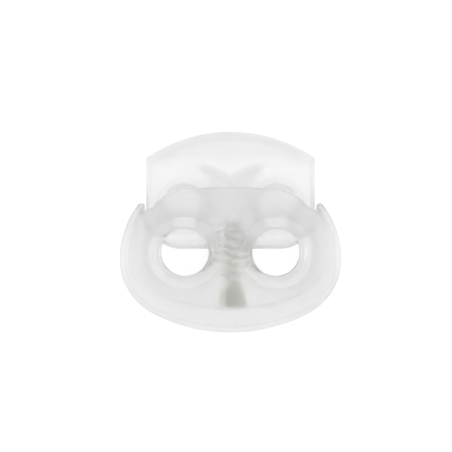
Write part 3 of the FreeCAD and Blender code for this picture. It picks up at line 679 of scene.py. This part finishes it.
def plastic(name, clearness, painted_rim_shades):
    """Clear plastic with a matt skin, a little haze inside, and painted shade in its base colour.
    """
    material, nodes, links = new_material(name)
    shader = nodes["Principled BSDF"]
    output = nodes["Material Output"]
    shader.inputs["Transmission Weight"].default_value = clearness
    shader.inputs["IOR"].default_value = IOR
    noise = mottle(nodes, links, shader, PLASTIC_MOTTLE, PLASTIC_BUMP)

    # painted shade along the rim: darker at the outline and in a line at the bevel's end
    ramp = nodes.new("ShaderNodeValToRGB")
    stops = ramp.color_ramp.elements
    for index, (place, grey) in enumerate(painted_rim_shades):
        stop = stops[index] if index < 2 else stops.new(place)
        stop.position = place
        stop.color = (grey, grey, grey, 1)
    links.new(attribute(nodes, "rim"), ramp.inputs["Fac"])
    # multiply in the painted shade stored at the vertices
    grey = multiply(nodes, links, ramp.outputs["Color"], attribute(nodes, "painted_shade"))
    grey = multiply(nodes, links, grey, vary(nodes, links, noise, *PLASTIC_SHADES))
    links.new(grey, shader.inputs["Base Color"])

    rough = nodes.new("ShaderNodeMapRange")
    rough.inputs["To Max"].default_value = POLISHED_ROUGHNESS
    links.new(attribute(nodes, "polish"), rough.inputs["Value"])
    links.new(vary(nodes, links, noise, *FACE_ROUGHNESS), rough.inputs["To Min"])
    links.new(rough.outputs["Result"], shader.inputs["Roughness"])

    haze = nodes.new("ShaderNodeVolumeScatter")
    haze.inputs["Color"].default_value = (1, 1, 1, 1)
    haze.inputs["Density"].default_value = HAZE
    haze.inputs["Anisotropy"].default_value = HAZE_FORWARD
    links.new(haze.outputs["Volume"], output.inputs["Volume"])

    # shadow rays pass nearly straight through instead of being bent
    clear = nodes.new("ShaderNodeBsdfTransparent")
    clear.inputs["Color"].default_value = (*[SHADOW_CLEARNESS] * 3, 1)
    ray = nodes.new("ShaderNodeLightPath")
    surface = nodes.new("ShaderNodeMixShader")
    links.new(ray.outputs["Is Shadow Ray"], surface.inputs[0])
    links.new(shader.outputs["BSDF"], surface.inputs[1])
    links.new(clear.outputs["BSDF"], surface.inputs[2])
    links.new(surface.outputs["Shader"], output.inputs["Surface"])
    return material


def steel():
    """Drawn spring wire, slightly uneven in colour and gloss."""
    material, nodes, links = new_material("drawn_wire")
    shader = nodes["Principled BSDF"]
    shader.inputs["Metallic"].default_value = 1.0
    noise = mottle(nodes, links, shader, WIRE_MOTTLE, WIRE_BUMP)
    ramp = nodes.new("ShaderNodeValToRGB")
    for stop, grey in zip(ramp.color_ramp.elements, WIRE_GREYS):
        stop.color = grey
    links.new(noise, ramp.inputs["Fac"])
    links.new(ramp.outputs["Color"], shader.inputs["Base Color"])
    links.new(vary(nodes, links, noise, *WIRE_ROUGHNESS), shader.inputs["Roughness"])
    return material


# ------------------------------------------------------------------ pieces

barrel = mould("barrel_moulding", barrel_field, BARREL_LOW, BARREL_HIGH)
button = mould("plunger_moulding", button_field, BUTTON_LOW, BUTTON_HIGH)
spring = spring_wire()
# store each piece's rim, polish and painted shade at its vertices
for piece, rim, polish, painted_shade in (
        (barrel, barrel_rim, barrel_polish, barrel_painted_shade),
        (button, button_rim, button_polish, button_painted_shade)):
    mark(piece, "rim", rim)
    mark(piece, "polish", polish)
    mark(piece, "painted_shade", painted_shade)

for piece, body, node, slot, material in (
        (barrel, "barrel", "barrel_body", "barrel_plastic",
         plastic("barrel_clear", BARREL_CLEARNESS, BARREL_RIM_PAINTED_SHADE)),
        (button, "plunger", "plunger_button", "plunger_plastic",
         plastic("plunger_clear", BUTTON_CLEARNESS, BUTTON_RIM_PAINTED_SHADE)),
        (spring, "barrel", "coil_spring", "spring_steel", steel())):
    piece.data.materials.append(material)
    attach(piece, body)
    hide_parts(node)

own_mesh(spring)


# ------------------------------------------------------------------ floor, light and camera

FLOOR_REACH = 2.0
FLOOR_GREY = 0.8
FLOOR_GLOW = 0.49
FLOOR_ROUGHNESS = 0.9
SKY = 0.56
NORTH_SKY = 0.76
# how far towards the mouth's side the sky starts to brighten
NORTH_START = 0.2
VIEW_WIDTH = 47.4
VIEW_CENTRE = (-0.47, 0.59)
VIEW_DISTANCE = 270.0
SENSOR = 36.0
FARTHEST_SEEN = 10
LIGHT_BOUNCES = 24
HAZE_BOUNCES = 12
# name, place and width in metres, power in watts
LAMPS = (
    ("top", (0.08, 0.06, 0.9), 0.5, 0.15),
    ("right", (0.55, 0.4, 0.6), 0.4, 0.4),
    ("east", (0.9, 0, 0.25), 0.5, 1.0),
    ("west", (-0.9, 0, 0.25), 0.5, 1.9),
    ("south", (0, -0.9, 0.25), 0.5, 0.3),
)


def add_floor():
    """Pale matt table that reaches well past the view."""
    mesh = bpy.data.meshes.new("floor")
    corners = [(-FLOOR_REACH, -FLOOR_REACH, 0), (FLOOR_REACH, -FLOOR_REACH, 0),
               (FLOOR_REACH, FLOOR_REACH, 0), (-FLOOR_REACH, FLOOR_REACH, 0)]
    mesh.from_pydata(corners, [], [(0, 1, 2, 3)])
    material, nodes, _ = new_material("floor")
    shader = nodes["Principled BSDF"]
    shader.inputs["Base Color"].default_value = (*[FLOOR_GREY] * 3, 1)
    shader.inputs["Emission Color"].default_value = (1, 1, 1, 1)
    shader.inputs["Emission Strength"].default_value = FLOOR_GLOW
    shader.inputs["Roughness"].default_value = FLOOR_ROUGHNESS
    shader.inputs["Specular IOR Level"].default_value = 0.0
    mesh.materials.append(material)
    link_piece("floor", mesh)


def add_sky():
    """Even white sky, a little brighter on the mouth's side."""
    world = bpy.data.worlds.new("sky")
    world.use_nodes = True
    bpy.context.scene.world = world
    nodes, links = world.node_tree.nodes, world.node_tree.links
    place = nodes.new("ShaderNodeTexCoord")
    split = nodes.new("ShaderNodeSeparateXYZ")
    links.new(place.outputs["Generated"], split.inputs["Vector"])
    strength = nodes.new("ShaderNodeMapRange")
    strength.inputs["From Min"].default_value = NORTH_START
    strength.inputs["To Min"].default_value = SKY
    strength.inputs["To Max"].default_value = NORTH_SKY
    links.new(split.outputs["Y"], strength.inputs["Value"])
    links.new(strength.outputs["Result"], nodes["Background"].inputs["Strength"])
    nodes["Background"].inputs["Color"].default_value = (1, 1, 1, 1)


def add_lamp(name, place, width, power):
    """Round soft lamp aimed at the cord lock."""
    data = bpy.data.lights.new(name, "AREA")
    data.shape = "DISK"
    data.size = width
    data.energy = power
    lamp = link_piece(name, data)
    lamp.location = place
    lamp.rotation_euler = (-Vector(place)).to_track_quat("-Z", "Y").to_euler()


def add_camera():
    """Long lens straight above the cord lock."""
    data = bpy.data.cameras.new("camera")
    data.sensor_width = SENSOR
    data.lens = SENSOR * VIEW_DISTANCE / VIEW_WIDTH
    data.clip_end = FARTHEST_SEEN
    camera = link_piece("camera", data)
    camera.location = Vector((*VIEW_CENTRE, MID_Z + VIEW_DISTANCE)) * MM
    bpy.context.scene.camera = camera


add_floor()
add_sky()
for lamp in LAMPS:
    add_lamp(*lamp)
add_camera()

scene = bpy.context.scene
scene.view_settings.view_transform = "Standard"
scene.cycles.use_denoising = True
scene.cycles.max_bounces = LIGHT_BOUNCES
scene.cycles.volume_bounces = HAZE_BOUNCES
scene.cycles.transmission_bounces = LIGHT_BOUNCES
scene.cycles.transparent_max_bounces = LIGHT_BOUNCES
